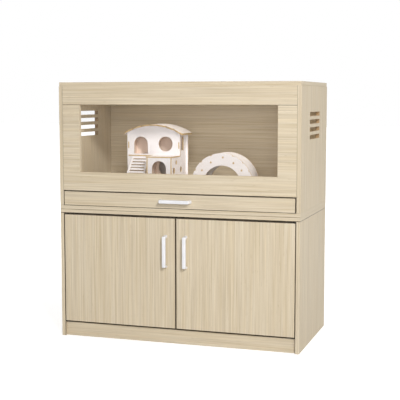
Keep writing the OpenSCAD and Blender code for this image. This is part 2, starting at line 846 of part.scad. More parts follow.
// One leaf: odd or even knuckles round the pin, and a plate flat on the back, up or down
module hinge_leaf(first, up) {
    reach = knuckle_r + hinge_gap;
    difference() {
        union() {
            for (i = [0 : knuckles - 1]) {
                x0 = -hinge_len / 2 + i * knuckle_pitch;
                own = i % 2 == first;
                w = knuckle_pitch - (own ? hinge_gap : 0);
                translate([x0 + (own ? hinge_gap / 2 : 0), case_d, lid_z])
                    translate([0, 0, up > 0 ? (own ? 0 : reach) : -leaf_h])
                    cube([w, leaf_t, leaf_h - (own ? 0 : reach)]);
                if (own) translate([x0 + hinge_gap / 2, hinge_y, lid_z]) rotate([0, 90, 0])
                    cylinder(r = knuckle_r, h = w);
            }
            translate([-hinge_len / 2, case_d, lid_z + (up > 0 ? reach : -leaf_h)])
                cube([hinge_len, leaf_t, leaf_h - reach]);
        }
        translate([-hinge_len, hinge_y, lid_z]) rotate([0, 90, 0])
            cylinder(r = hinge_pin_r + slip / 2, h = 2 * hinge_len);
    }
}

module case_hinge_leaves() in_frame() color(steel) difference() {
    for (x = hinge_xs) translate([x, 0, 0]) hinge_leaf(0, -1);
    csk_holes(screws_case_leaves);
}

module lid_hinge_leaves() in_frame() color(steel) difference() {
    for (x = hinge_xs) translate([x, 0, 0]) hinge_leaf(1, 1);
    csk_holes(screws_lid_leaves);
}

module hinge_pins() in_frame() color(zinc)
    for (x = hinge_xs) translate([x - hinge_len / 2, hinge_y, lid_z]) rotate([0, 90, 0]) {
        cylinder(r = hinge_pin_r, h = hinge_len);
        translate([0, 0, hinge_len]) cylinder(r = hinge_pin_r + 0.8, h = 0.8);
        translate([0, 0, -0.8]) cylinder(r = hinge_pin_r + 0.8, h = 0.8);
    }

// Play house of laser-cut plywood

house_x0 = house_x - house_w / 2;
house_x1 = house_x + house_w / 2;
wall_x0 = house_x0 + wall_inset;
wall_x1 = house_x1 - wall_inset;
storey_z1 = floor_top + house_storey;
storey_z0 = storey_z1 - ply;
house_back_y = house_y + house_d;
porch_x0 = wall_x1 - porch_w;
porch_y = house_y - porch_d;
roof_half = house_w / 2 + roof_side;
roof_r = (roof_half * roof_half + roof_rise * roof_rise) / (2 * roof_rise);
roof_z = floor_top + roof_top - roof_r;
roof_play = 0.2;
tab_h = 27;
tab_z = storey_z1 + 28;
cut_play = 0.1;
back_wing = 6;

// An arched doorway with its sill at the origin
module arch_way(w, h) {
    translate([-w / 2, 0]) square([w, h - w / 2]);
    translate([0, h - w / 2]) circle(w / 2);
}

// The space under the roof, as an outline in X and Z
module under_roof() {
    translate([house_x, roof_z]) circle(roof_r - roof_t - roof_play, $fn = 180);
}

// Openings: sideways from the house's or the porch's middle, and up from the floor below
door_off = -56;
door_sill = 5;
porthole_off = 54;
porthole_up = 47;
burrow_off = -4;
burrow_up = 69.5;

// The upper floor comes through the front wall in two slots, with a bridge of wall between them
bridge = 6;
landing_x0 = house_x0 + bridge;
landing_x1 = porch_x0 - bridge;
porch_slot_x0 = porch_x0 + bridge;

module house_front() in_frame() color(white_ply) upright(house_y, ply) difference() {
    intersection() {
        union() {
            translate([house_x0, storey_z1]) square([house_w, roof_top]);
            translate([house_x0, floor_top]) square([wall_x1 - ply - house_x0, roof_top / 2]);
        }
        under_roof();
    }
    translate([house_x + door_off, storey_z1 + door_sill]) arch_way(doorway_w, doorway_h);
    translate([house_x + porthole_off, storey_z1 + porthole_up]) circle(porthole_r);
    translate([porch_x0 + porch_w / 2 + burrow_off, floor_top + burrow_up]) circle(burrow_r);
    translate([landing_x0 - cut_play, storey_z0 - cut_play])
        square([landing_x1 - landing_x0 + 2 * cut_play, ply + 2 * cut_play]);
    translate([porch_slot_x0 - cut_play, storey_z0 - cut_play])
        square([house_x1 - porch_slot_x0, ply + cut_play]);
    for (x = [wall_x0, wall_x1 - ply]) translate([x - cut_play, tab_z - cut_play])
        square([ply + 2 * cut_play, tab_h + 2 * cut_play]);
}

module house_porch_front() in_frame() color(white_ply) upright(porch_y, ply) difference() {
    translate([porch_x0 + ply, floor_top]) square([porch_w - 2 * ply, house_storey - ply]);
    translate([porch_x0 + porch_w / 2, floor_top]) arch_way(doorway_w, porch_door_h);
}

module house_porch_side() in_frame() color(white_ply)
    block([porch_x0, porch_y, floor_top], [porch_x0 + ply, house_y, storey_z0]);

// A side wall with its tab in the front wall, cut to the roof's curve
module side_wall(x, low_y0) intersection() {
    union() {
        block([x, low_y0, floor_top], [x + ply, house_back_y, storey_z0]);
        block([x, house_y + ply, storey_z0 - 1], [x + ply, house_back_y, floor_top + roof_top]);
        block([x, house_y, tab_z], [x + ply, house_y + ply + 1, tab_z + tab_h]);
    }
    upright(house_y - 2 * porch_d, 4 * porch_d) under_roof();
}

side_wall_top = roof_z + sqrt(pow(roof_r - roof_t - roof_play, 2) - house_w * house_w / 4);

window_w = 30;
window_sill = 20;
window_cover = 14; // wall left above the window

module side_window() {
    translate([house_y + house_d * 0.45, storey_z1 + window_sill])
        arch_way(window_w, side_wall_top - storey_z1 - window_sill - window_cover);
}

// Air holes in the right wall: [behind the front wall, below the upper floor, radius]
air_holes = [[-40, 26, 9.5], [-68, 59, 13], [18, 58, 12]];

module house_side_left() in_frame() color(white_ply) difference() {
    side_wall(wall_x0, house_y + ply);
    sideways(wall_x0 - 1, ply + 2) side_window();
}

module house_side_right() in_frame() color(white_ply) difference() {
    side_wall(wall_x1 - ply, porch_y);
    sideways(wall_x1 - ply - 1, ply + 2) {
        side_window();
        for (h = air_holes) translate([house_y + h[0], storey_z1 - h[1]]) circle(h[2]);
    }
}

module house_back() in_frame() color(white_ply) upright(house_back_y, ply) intersection() {
    translate([house_x0 - back_wing, floor_top]) square([house_w + 2 * back_wing, roof_top]);
    under_roof();
}

module house_floor() in_frame() color(birch) translate([0, 0, storey_z0]) linear_extrude(ply) union() {
    translate([wall_x0 + ply, house_y + ply]) square([wall_x1 - wall_x0 - 2 * ply, house_d - ply]);
    translate([landing_x0, house_y - floor_proud]) square([landing_x1 - landing_x0, floor_proud + ply]);
    translate([wall_x0 + ply, house_y]) square([landing_x1 - wall_x0 - ply, ply + 1]);
    translate([porch_slot_x0, house_y - 1]) square([wall_x1 - ply - porch_slot_x0, ply + 2]);
    translate([porch_slot_x0, house_y - 1]) square([wall_x1 + floor_proud / 2 - porch_slot_x0, ply + 1]);
    translate([porch_x0 - floor_proud / 2, porch_y - floor_proud])
        square([porch_w + floor_proud, porch_d + floor_proud]);
}

roof_y0 = house_y - roof_front;
scallop_pitch = 2 * roof_half / scallops;
scallop_half = scallop_pitch / 2 - 0.8;
scallop_r = (scallop_half * scallop_half + scallop_depth * scallop_depth) / (2 * scallop_depth);

// What is cut away along the front edge, seen from above, with the edge's left end at the origin
module scallop_cut() difference() {
    translate([-1, -1]) square([2 * roof_half + 2, scallop_depth + 1]);
    for (i = [0 : scallops - 1]) translate([(i + 0.5) * scallop_pitch, scallop_r]) circle(scallop_r);
}

module house_roof() in_frame() color(white_ply) difference() {
    upright(roof_y0, roof_front + house_d + ply + roof_back) intersection() {
        translate([house_x, roof_z]) difference() {
            circle(roof_r, $fn = 180);
            circle(roof_r - roof_t, $fn = 180);
        }
        translate([house_x - roof_half, storey_z1]) square([2 * roof_half, roof_top]);
    }
    translate([house_x - roof_half, roof_y0, storey_z1 - 1]) linear_extrude(roof_top) scallop_cut();
}

stair_step = 14.6;
stair_first = 15.6;
stair_slot = 6.5;
stair_margin = 9;
stair_mid_in = 58.5;
stair_rise = storey_z0 - floor_top;
stair_len = sqrt(stair_run * stair_run + stair_rise * stair_rise);

// The stairs' sheet laid flat, with the middle of its foot at the origin and slots cut square through it
module stair_sheet() linear_extrude(ply) difference() {
    polygon([
        [-stair_w / 2 - stair_flare, 0],
        [stair_w / 2 + stair_flare, 0],
        [stair_w / 2, stair_len],
        [-stair_w / 2, stair_len]
    ]);
    for (u = [stair_len - stair_first : -stair_step : stair_step * 0.8]) {
        w = stair_w + 2 * stair_flare * (1 - u / stair_len) - 2 * stair_margin;
        translate([-w / 2, u - stair_slot / 2]) square([w, stair_slot]);
    }
}

// The sheet leans on the front wall, and is cut level at its foot and upright against the wall
module house_stairs() in_frame() color(white_ply) intersection() {
    translate([house_x0 + stair_mid_in, house_y - stair_run, floor_top])
        rotate([90 - atan(stair_run / stair_rise), 0, 0])
        translate([0, 0, -ply]) stair_sheet();
    block([house_x0 - stair_w, house_y - stair_run - 1, floor_top], [porch_x0, house_y, storey_z0 + 1]);
}

// Tunnel arch: two half rings, a bent deck between them that sits in their rims, and rods

arch_z = floor_top + arch_rise;
deck_t = 3;
deck_sink = 0.6;
rod_ring_in = 2;
rod_top_out = 10;
rod_ring_r = (arch_r + arch_hole_r) / 2 - rod_ring_in;
rod_top_r = rod_ring_r + rod_top_out;
rod_spots = [[-55, rod_ring_r], [-27, rod_ring_r], [2, rod_top_r], [28, rod_ring_r], [53, rod_ring_r]];
tab_angles = [-62, -43, -21, 21, 43, 62];
tab_w = 8;

module half_ring(r_out, r_in) {
    difference() {
        union() {
            circle(r_out, $fn = 120);
            translate([-r_out, -arch_rise]) square([2 * r_out, arch_rise]);
        }
        circle(r_in, $fn = 120);
        translate([-r_in, -arch_rise - 1]) square([2 * r_in, arch_rise + 1]);
        translate([-2 * r_out, -arch_rise - 2 * r_out]) square([4 * r_out, 2 * r_out]);
    }
}

module deck_ring() {
    half_ring(arch_r - deck_sink, arch_r - deck_sink - deck_t);
}

// Rays across the rim where the deck's tabs stand in the plates
module tab_rays(extra) {
    for (a = tab_angles) rotate(-a) translate([-tab_w / 2 - extra, arch_r - 2 * deck_t - extra])
        square([tab_w + 2 * extra, 3 * deck_t]);
}

module rod_places() {
    for (p = rod_spots) rotate(-p[0]) translate([0, p[1]]) children();
}

module arch_plates() in_frame() color(white_ply)
    for (y = [arch_y, arch_y + arch_len - ply]) upright(y, ply) translate([arch_x, arch_z]) difference() {
        half_ring(arch_r, arch_hole_r);
        intersection() {
            half_ring(arch_r + deck_t, arch_r - deck_sink - deck_t - cut_play);
            tab_rays(cut_play);
        }
        rod_places() circle(rod_d / 2 + slip);
    }

module arch_deck() in_frame() color(white_ply) {
    upright(arch_y + ply, arch_len - 2 * ply) translate([arch_x, arch_z]) deck_ring();
    upright(arch_y, arch_len) translate([arch_x, arch_z]) intersection() {
        deck_ring();
        tab_rays(0);
    }
}

module arch_rods() in_frame() color(birch)
    upright(arch_y - 1, arch_len + 2) translate([arch_x, arch_z]) rod_places() circle(rod_d / 2);

base_side_left();
base_side_right();
base_top();
base_bottom();
plinth();
base_back();
shelf();
shelf_pins();
door_catch();
pivot_plates();
door_left();
handle_left();
handle_screws_left();
strike_left();
door_right();
handle_right();
handle_screws_right();
strike_right();
case_bottom();
case_side_left();
case_side_right();
case_back();
case_floor();
top_rail();
window_frame();
window_pane();
pane_screws();
stack_bolts();
cam_locks();
cam_bolts();
wood_dowels();
case_screws();
slides_outer();
slides_middle();
slides_inner();
drawer_front();
drawer_side_left();
drawer_side_right();
drawer_back();
drawer_bottom();
drawer_dowels();
handle_drawer();
handle_screws_drawer();
lid();
lid_hinge_leaves();
case_hinge_leaves();
hinge_pins();
lid_screws();
house_front();
house_porch_front();
house_porch_side();
house_side_left();
house_side_right();
house_back();
house_floor();
house_roof();
house_stairs();
arch_plates();
arch_deck();
arch_rods();
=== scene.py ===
# %% [markdown]
# # A glazed hamster cage on its cupboard
# The cabinet, its drawer, doors, lid, play house and tunnel come from the packed model, which fixes
# every size and place. This file gives each board, sheet and fitting its finish, models the three
# white bow handles as soft-edged bars, and sets up the floor, the light and the camera.

# %% Load the frame
import math
import bpy
import bmesh
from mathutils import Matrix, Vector


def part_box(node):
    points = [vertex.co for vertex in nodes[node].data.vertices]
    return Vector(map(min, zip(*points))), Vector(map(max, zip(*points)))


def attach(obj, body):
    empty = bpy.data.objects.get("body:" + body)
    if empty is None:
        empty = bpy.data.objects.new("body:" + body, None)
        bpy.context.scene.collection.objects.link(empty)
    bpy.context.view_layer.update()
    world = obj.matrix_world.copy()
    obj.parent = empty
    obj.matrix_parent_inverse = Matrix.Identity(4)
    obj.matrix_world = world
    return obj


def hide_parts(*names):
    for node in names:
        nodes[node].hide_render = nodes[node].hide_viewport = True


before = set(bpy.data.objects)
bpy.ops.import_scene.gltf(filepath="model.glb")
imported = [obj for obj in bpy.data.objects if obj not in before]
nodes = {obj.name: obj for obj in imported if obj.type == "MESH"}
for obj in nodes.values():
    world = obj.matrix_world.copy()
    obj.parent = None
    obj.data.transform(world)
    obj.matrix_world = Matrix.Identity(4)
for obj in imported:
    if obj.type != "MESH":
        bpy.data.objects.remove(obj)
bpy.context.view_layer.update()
scene = bpy.context.scene

# %% [markdown]
# ## Where things are
# A node's box tells where the board really lies, so nothing below repeats a place that the model
# already knows. Two measures serve several steps: the plane of the boards' front edges, and the
# height of the lid's top.

# %% Places read from the model
front_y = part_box("case_side_left")[0].y
cabinet_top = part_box("lid")[1].z
print("front plane at", round(front_y, 4), "top at", round(cabinet_top, 4))

# %% [markdown] ## A small kit for node materials Every finish here is a Principled shader fed by a
# few noise and ramp nodes. All patterns read Object coordinates. A node's object sits at the origin,
# so those are metres in the cage's own frame.

# %% Nodes and arithmetic


class NodeKit:
    """A new material with its node tree and its Principled shader, and ways to add nodes."""

    def __init__(self, name, rough, metal=0.0):
        self.mat = bpy.data.materials.new(name)
        self.mat.use_nodes = True
        self.tree = self.mat.node_tree
        self.shader = self.tree.nodes["Principled BSDF"]
        self.shader.inputs["Roughness"].default_value = rough
        self.shader.inputs["Metallic"].default_value = metal
        coords = self.tree.nodes.new("ShaderNodeTexCoord")
        self.where = coords.outputs["Object"]
        self.facing = coords.outputs["Normal"]

    def add(self, kind, **inputs):
        """Adds a node. A value that is a socket is linked, and any other is set.

        An input goes by its label, or by i and its number where several share a label."""
        made = self.tree.nodes.new(kind)
        for key, value in inputs.items():
            numbered = key[0] == "i" and key[1:].isdigit()
            socket = made.inputs[int(key[1:]) if numbered else key]
            if isinstance(value, bpy.types.NodeSocket):
                self.tree.links.new(value, socket)
            else:
                socket.default_value = value
        return made

    def math(self, operation, a, b=0.0):
        made = self.add("ShaderNodeMath", i0=a, i1=b)
        made.operation = operation
        return made.outputs[0]

    def vector_math(self, operation, a, b=(0, 0, 0), result="Vector"):
        """Arithmetic with vectors. A length or a product comes out as the result Value."""
        made = self.add("ShaderNodeVectorMath", i0=a, i1=b)
        made.operation = operation
        return made.outputs[result]

    def split(self, vector):
        """The X, Y and Z of a vector."""
        return self.add("ShaderNodeSeparateXYZ", Vector=vector).outputs

    def along(self, axis):
        """How squarely the surface faces along an axis, either way, from 0 to 1."""
        return self.math("ABSOLUTE", self.split(self.facing)[axis])


print("ways to add nodes:", ", ".join(way for way in vars(NodeKit) if way[0] != "_"))

# %% [markdown] ## Patterns, and what is made from them A finish takes noise for what varies, a ramp
# or a mix to turn that into a colour, and a bump to turn it into relief.

# %% Patterns and colours
# A Mix node holds the sockets of every kind of value, and these are the ones for colours
MIX_FACTOR = 0
MIX_A = 6
MIX_B = 7
MIX_RESULT = 2


class Finish(NodeKit):
    """One material under construction, with the moves that the finishes share."""

    def scaled(self, scale, offset=(0, 0, 0)):
        """Object coordinates, moved by an offset in metres and then scaled."""
        moved = self.add("ShaderNodeMapping", Vector=self.where, Location=offset)
        return self.add("ShaderNodeMapping", Vector=moved.outputs[0], Scale=scale).outputs[0]

    def noise(self, where, scale=1.0, detail=2.0, rough=0.5):
        made = self.add("ShaderNodeTexNoise", Vector=where, Scale=scale, Detail=detail,
                        Roughness=rough)
        return made.outputs["Fac"]

    def fade(self, value, start, end, before, after, curve="LINEAR"):
        """Goes from one number to another while the value goes from start to end."""
        ends = {"From Min": start, "From Max": end, "To Min": before, "To Max": after}
        made = self.add("ShaderNodeMapRange", Value=value, **ends)
        made.interpolation_type = curve
        return made.outputs["Result"]

    def ramp(self, value, stops):
        """A colour ramp with stops of (position, colour)."""
        made = self.add("ShaderNodeValToRGB", Fac=value)
        band = made.color_ramp
        while len(band.elements) < len(stops):
            band.elements.new(0.5)
        for element, (position, colour) in zip(band.elements, stops):
            element.position = position
            element.color = (*colour, 1.0)
        return made.outputs["Color"]

    def mix(self, factor, a, b, blend="MIX"):
        made = self.tree.nodes.new("ShaderNodeMix")
        made.data_type = "RGBA"
        made.blend_type = blend
        for index, value in ((MIX_FACTOR, factor), (MIX_A, a), (MIX_B, b)):
            if isinstance(value, bpy.types.NodeSocket):
                self.tree.links.new(value, made.inputs[index])
            elif index == MIX_FACTOR:
                made.inputs[index].default_value = value
            else:
                made.inputs[index].default_value = (*value, 1.0)
        return made.outputs[MIX_RESULT]

    def colour(self, socket):
        self.tree.links.new(socket, self.shader.inputs["Base Color"])

    def roughness(self, socket):
        self.tree.links.new(socket, self.shader.inputs["Roughness"])

    def bump(self, height, distance, strength):
        made = self.add("ShaderNodeBump", Height=height, Distance=distance, Strength=strength)
        self.tree.links.new(made.outputs[0], self.shader.inputs["Normal"])


print("moves of a finish:", ", ".join(move for move in vars(Finish) if move[0] != "_"))

# %% [markdown]
# ## Colours, and how a piece gets its finish
# A picture editor shows a colour as three values from 0 to 255, while a shader works in linear light,
# so each colour is written in the first way and turned into the second. A piece of the packed model
# keeps its mesh as it is, and only its material is exchanged.

# %% Colours and dressing


def srgb(red, green, blue):
    """A colour given in display values from 0 to 255, as linear light."""
    def linear(value):
        share = value / 255
        return share / 12.92 if share <= 0.04045 else ((share + 0.055) / 1.055) ** 2.4
    return tuple(round(linear(value), 4) for value in (red, green, blue))


def dress(name, material):
    """Gives a CAD node this material in place of the plain one that it was packed with."""
    mesh = nodes[name].data
    mesh.materials.clear()
    mesh.materials.append(material)


print("a display value of 128 is", srgb(128, 128, 128)[0], "in linear light")

# %% [markdown]
# ## Light oak film
# The cabinet is chipboard under a printed oak film. Seen close, the print is three things at once:
# hair lines, streaks a few millimetres wide and a forearm long, and faint bands that make one stretch
# of board paler than the next. A wave texture would repeat too evenly, so each of the three is a noise
# pattern that is drawn out along the grain by its own width and length, and the sum picks a colour
# from dark to pale. A slower pattern lets the hue drift towards a yellower tan, and short dark pores
# are strewn over it.

# %% The film's colours
WHITE = (1, 1, 1)
BLACK = (0, 0, 0)
OAK_DARK = srgb(184, 168, 142)
OAK_MID = srgb(203, 189, 165)
OAK_PALE = srgb(219, 207, 185)
OAK_PORE = srgb(168, 148, 118)
OAK_TAN = (1.0, 0.98, 0.93)
PRINT_RAMP = ((0.28, OAK_DARK), (0.5, OAK_MID), (0.72, OAK_PALE))
HUE_RAMP = ((0.38, WHITE), (0.64, OAK_TAN))
PORE_RAMP = ((0.68, BLACK), (0.76, WHITE))
print("the film's middle tone:", OAK_MID)

# %% The film's patterns
# Each pattern's width across the grain and its length along it, in metres
HAIR = (0.0016, 0.12)
STREAK = (0.0038, 0.32)
BAND = (0.03, 0.9)
HUE = (0.012, 0.5)
PORE = (0.0022, 0.03)

# How much of the print comes from the hair lines, the streaks and the bands
HAIR_SHARE = 0.34
STREAK_SHARE = 0.57
BAND_SHARE = 0.09


def along_grain(grain, size):
    """The scale that gives a pattern this width and length, with the grain along X, Y or Z."""
    width, length = size
    return tuple(1 / length if axis == grain else 1 / width for axis in "XYZ")


print("streaks:", STREAK[0] * 1000, "mm wide and", STREAK[1] * 1000, "mm long")

# %% [markdown]
# ## The joints between boards, and painted shade in the gaps
# Where two boards are screwed together, the joint shows as a thin dark line. Where there is a gap, as
# around the doors, the drawer and above the plinth, the line is painted shade: it stands for the shadow
# in the gap, which gaps this narrow would hardly cast in a render. So the line is drawn on the boards
# themselves: a board names the sides of its box that have such a line, and how wide it is.

# %% Joint lines
# Painted shade for the gaps between boards, and the dark joint where two boards are screwed together
JOINT_AND_GAP_SHADE = srgb(46, 35, 22)
# How deep the painted gap shade reaches into a board's edge face from the front
GAP_SHADE_DEPTH = 0.004
FULL_SHARE = 0.7
FACES_ALONG = 0.5


def joint_and_gap_shade_lines(made, name, joints):
    """1 on the dark line along each named side of the node's box, and 0 elsewhere. Along a gap the line
    is painted shade, and between two screwed boards it is the dark joint.

    A line is full for most of its width and then fades. The side itself gets painted shade only near
    the front, as deep as the gap's shadow would reach."""
    low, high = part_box(name)
    place = made.split(made.where)
    gap_shade_near_front = made.math("LESS_THAN", place["Y"], low.y + GAP_SHADE_DEPTH)
    lines = 0.0
    for side, width in joints.items():
        axis = "XYZ".index(side[1])
        edge = (high if side[0] == "+" else low)[axis]
        away = made.math("ABSOLUTE", made.math("SUBTRACT", place[axis], edge))
        line = made.fade(away, FULL_SHARE * width, width, 1.0, 0.0)
        beside = made.math("LESS_THAN", made.along(axis), FACES_ALONG)
        shown = made.math("MAXIMUM", beside, gap_shade_near_front)
        lines = made.math("MAXIMUM", made.math("MULTIPLY", line, shown), lines)
    return lines


# The printed depth is how far the painted gap shade reaches into a joint
print("dust reaches", GAP_SHADE_DEPTH * 1000, "mm into a joint")

# %% [markdown]
# ## The vents' walls
# The vents are cut right through the two side boards of the case, so their walls show the brown
# chipboard. Such a wall lies inside the board's outline and doesn't face sideways, and that is
# enough to find it without touching the mesh.

# %% Vent walls
CHIPBOARD = srgb(168, 141, 106)
OUTLINE_SHARE = 0.98
VENTED = ("case_side_left", "case_side_right")


def vent_walls(made, name):
    """1 on the faces cut into an upright side board, and 0 on its two sides and its four edges."""
    low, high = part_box(name)
    out = made.vector_math("SUBTRACT", made.where, (low + high) / 2)
    share = made.vector_math("DIVIDE", out, (high - low) / 2)
    reach = made.split(made.vector_math("ABSOLUTE", share))
    farther = made.math("MAXIMUM", reach["Y"], reach["Z"])
    inside = made.math("LESS_THAN", farther, OUTLINE_SHARE)
    return made.math("MULTIPLY", inside, made.math("LESS_THAN", made.along("X"), FACES_ALONG))


print("boards with vents:", ", ".join(VENTED))

# %% [markdown]
# ## One board
# Each board moves the patterns by its own amount, so that two boards that meet don't run through as
# one. The two ends that the grain runs into are closed with a plain strip, so the pattern fades
# there. The relief and the gloss follow the same streaks as the colour.

# %% The board finish
SHIFT_SHARES = (1.0, 1.7, 0.6)
PORE_SHARE = 0.4
END_STRIP = 0.8
FILM_ROUGH = 0.56
ROUGH_DIP = 0.08
ROUGH_SPREAD = 0.14
FILM_SHINE = 0.25
GRAIN_DEPTH = 0.0002
GRAIN_STRENGTH = 0.3


def oak_board(name, grain, shift, joints):
    """Oak film with its grain along X, Y or Z. shift is the board's place in the pattern, in metres."""
    made = Finish("oak_" + name, rough=FILM_ROUGH)
    made.shader.inputs["Specular IOR Level"].default_value = FILM_SHINE
    offset = tuple(shift * share for share in SHIFT_SHARES)
    hair = made.noise(made.scaled(along_grain(grain, HAIR), offset))
    streak = made.noise(made.scaled(along_grain(grain, STREAK), offset), detail=1.0)
    band = made.noise(made.scaled(along_grain(grain, BAND), offset))
    fine = made.math("ADD", made.math("MULTIPLY", hair, HAIR_SHARE),
                     made.math("MULTIPLY", streak, STREAK_SHARE))
    tone = made.math("ADD", fine, made.math("MULTIPLY", band, BAND_SHARE))
    base = made.ramp(tone, PRINT_RAMP)
    hue_offset = (offset[1], offset[2], offset[0])
    hue = made.noise(made.scaled(along_grain(grain, HUE), hue_offset))
    base = made.mix(1.0, base, made.ramp(hue, HUE_RAMP), "MULTIPLY")
    spots = made.noise(made.scaled(along_grain(grain, PORE), offset), detail=1.0)
    pore = made.math("MULTIPLY", made.ramp(spots, PORE_RAMP), PORE_SHARE)
    base = made.mix(pore, base, OAK_PORE)
    at_end = made.math("GREATER_THAN", made.along(grain), FACES_ALONG)
    base = made.mix(made.math("MULTIPLY", at_end, END_STRIP), base, OAK_MID)
    if name in VENTED:
        base = made.mix(vent_walls(made, name), base, CHIPBOARD)
    # Painted shade along the gaps, and the dark joints, go over the film
    made.colour(made.mix(joint_and_gap_shade_lines(made, name, joints), base, JOINT_AND_GAP_SHADE))
    dulled = made.math("MULTIPLY", streak, ROUGH_SPREAD)
    made.roughness(made.math("ADD", dulled, FILM_ROUGH - ROUGH_DIP))
    made.bump(made.math("SUBTRACT", fine, pore), GRAIN_DEPTH, GRAIN_STRENGTH)
    return made.mat


print("the film's relief is", GRAIN_DEPTH * 1000, "mm deep")

# %% [markdown]
# ## All the boards
# The grain runs up the side boards and the doors, and lengthways along all the others, as is usual in
# such a cabinet. A wide joint line stands for a gap with its shade, as above and below the doors, and
# a narrow one for two boards that are screwed together.

# %% Dress the boards
# Board, the way its grain runs, its place in the pattern, and its joint lines in metres
boards = [
    ("base_side_left", "Z", 0.3, {"+X": 0.001}),
    ("base_side_right", "Z", 1.9, {"-X": 0.001}),
    ("case_side_left", "Z", 2.6, {"+X": 0.0005}),
    ("case_side_right", "Z", 3.7, {"-X": 0.0009}),
    ("door_left", "Z", 4.4, {"+Z": 0.0028, "-Z": 0.0028, "+X": 0.0018, "-X": 0.001}),
    ("door_right", "Z", 5.3, {"+Z": 0.0028, "-Z": 0.0028, "-X": 0.0018, "+X": 0.0007}),
    ("base_top", "X", 0.9, {"-Z": 0.0026, "+Z": 0.0006}),
    ("base_bottom", "X", 1.2, {}),
    ("plinth", "X", 2.2, {"+Z": 0.003}),
    ("shelf", "X", 3.1, {}),
    ("case_bottom", "X", 4.1, {"+Z": 0.0006, "-Z": 0.0006}),
    ("case_back", "X", 5.8, {}),
    ("case_floor", "X", 6.2, {}),
    ("top_rail", "X", 7.1, {"-Z": 0.001}),
    ("window_frame", "X", 8.3, {"+Z": 0.001, "-Z": 0.0012}),
    ("drawer_front", "X", 9.2, {"+Z": 0.0018, "-Z": 0.0006, "+X": 0.0026, "-X": 0.0009}),
    ("lid", "X", 9.9, {}),
    ("base_back", "X", 10.4, {}),
    ("drawer_side_left", "Y", 11.3, {}),
    ("drawer_side_right", "Y", 12.5, {}),
    ("drawer_back", "X", 13.1, {}),
]
for name, grain, shift, joints in boards:
    dress(name, oak_board(name, grain, shift, joints))
print("boards:", len(boards))

# %% [markdown]
# ## Where the plywood is warmer
# The house and the tunnel are thin birch plywood with a white face. The house is white on the outside
# alone. In its room and its porch the walls and the ceiling get a warmer colour, so its door and its
# round window look warm. Both rooms are boxes between sheets that the model knows, so a point belongs
# to a wall when it lies within such a box, and to a floor when it looks up.

# %% The room and the porch
WALL_SKIN = 0.001
LOOKS_UP = 0.5
ply_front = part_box("house_front")
ply_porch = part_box("house_porch_front")
ply_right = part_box("house_side_right")
ROOM = (Vector((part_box("house_side_left")[1].x, ply_front[1].y, ply_front[0].z)),
        Vector((ply_right[0].x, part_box("house_back")[0].y, cabinet_top)))
PORCH = (Vector((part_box("house_porch_side")[1].x, ply_porch[1].y, ply_porch[0].z)),
         Vector((ply_right[0].x, ply_front[0].y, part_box("house_floor")[0].z)))


def indoors(made):
    """1 on the walls and the ceiling of the room and of the porch, and 0 elsewhere."""
    place = made.split(made.where)
    upwards = made.split(made.facing)["Z"]
    inside = 0.0
    for low, high in (ROOM, PORCH):
        within = made.math("LESS_THAN", upwards, LOOKS_UP)
        for axis in range(3):
            offset = made.math("SUBTRACT", place[axis], (low[axis] + high[axis]) / 2)
            reach = (high[axis] - low[axis]) / 2 + WALL_SKIN
            near = made.math("LESS_THAN", made.math("ABSOLUTE", offset), reach)
            within = made.math("MULTIPLY", within, near)
        inside = made.math("MAXIMUM", within, inside)
    return inside


print("room:", [round(c, 3) for c in ROOM[1] - ROOM[0]], "porch:",
      [round(c, 3) for c in PORCH[1] - PORCH[0]])

# %% [markdown]
# ## White plywood with bare cut edges
# The laser leaves every cut edge tan, with darker specks where it burnt. A face and an edge differ
# only in which way they point, so the normal tells them apart: for a flat sheet, by how well it lines
# up with the sheet's own face, and for a bent one, by its cut side.

# %% The plywood finish
PLY_FACE = srgb(250, 246, 247)
PLY_SHADE = srgb(244, 238, 237)
PLY_EDGE = srgb(222, 196, 150)
PLY_BURNT = srgb(192, 160, 114)
PLY_INDOORS = srgb(250, 228, 210)
FACE_RAMP = ((0.35, PLY_SHADE), (0.6, PLY_FACE))
CUT_RAMP = ((0.3, PLY_BURNT), (0.6, PLY_EDGE))
PLY_FIGURE = (9.0, 60.0, 60.0)
FIGURE_SHARE = 0.6
CLOUD_SHARE = 0.4


def plywood(name, direction, is_face=True, limit=0.85):
    """White sheet. direction is the way its face points, or with is_face False, its edge."""
    made = Finish("ply_" + name, rough=0.62)
    product = made.vector_math("DOT_PRODUCT", made.facing, direction, result="Value")
    lined_up = made.math("ABSOLUTE", product)
    edge = made.math("LESS_THAN" if is_face else "GREATER_THAN", lined_up, limit)
    figure = made.noise(made.scaled(PLY_FIGURE), detail=4.0, rough=0.6)
    cloud = made.noise(made.where, scale=14.0)
    tone = made.math("ADD", made.math("MULTIPLY", figure, FIGURE_SHARE),
                     made.math("MULTIPLY", cloud, CLOUD_SHARE))
    face = made.mix(indoors(made), made.ramp(tone, FACE_RAMP), PLY_INDOORS)
    cut = made.ramp(made.noise(made.where, scale=700.0), CUT_RAMP)
    made.colour(made.mix(edge, face, cut))
    made.bump(figure, GRAIN_DEPTH, GRAIN_STRENGTH)
    return made.mat


print("plywood face:", PLY_FACE, "edge:", PLY_EDGE)

# %% [markdown]
# ## The house and the tunnel
# Most sheets are flat and stand or lie square, so they share a finish with those that face the same
# way. The tunnel's deck and the roof are bent. The deck's cut sides face forwards and backwards, and
# the roof's edges are what stands upright. The stairs' face leans, and its slope follows from its box.

# %% Dress the house and the tunnel
flat_front = plywood("front", (0, 1, 0))
flat_side = plywood("side", (1, 0, 0))
for name in ("house_front", "house_porch_front", "house_back", "arch_plates"):
    dress(name, flat_front)
for name in ("house_porch_side", "house_side_left", "house_side_right"):
    dress(name, flat_side)
dress("house_floor", plywood("floor", (0, 0, 1)))
dress("arch_deck", plywood("deck", (0, 1, 0), is_face=False))
dress("house_roof", plywood("roof", (0, 0, 1), limit=0.8))

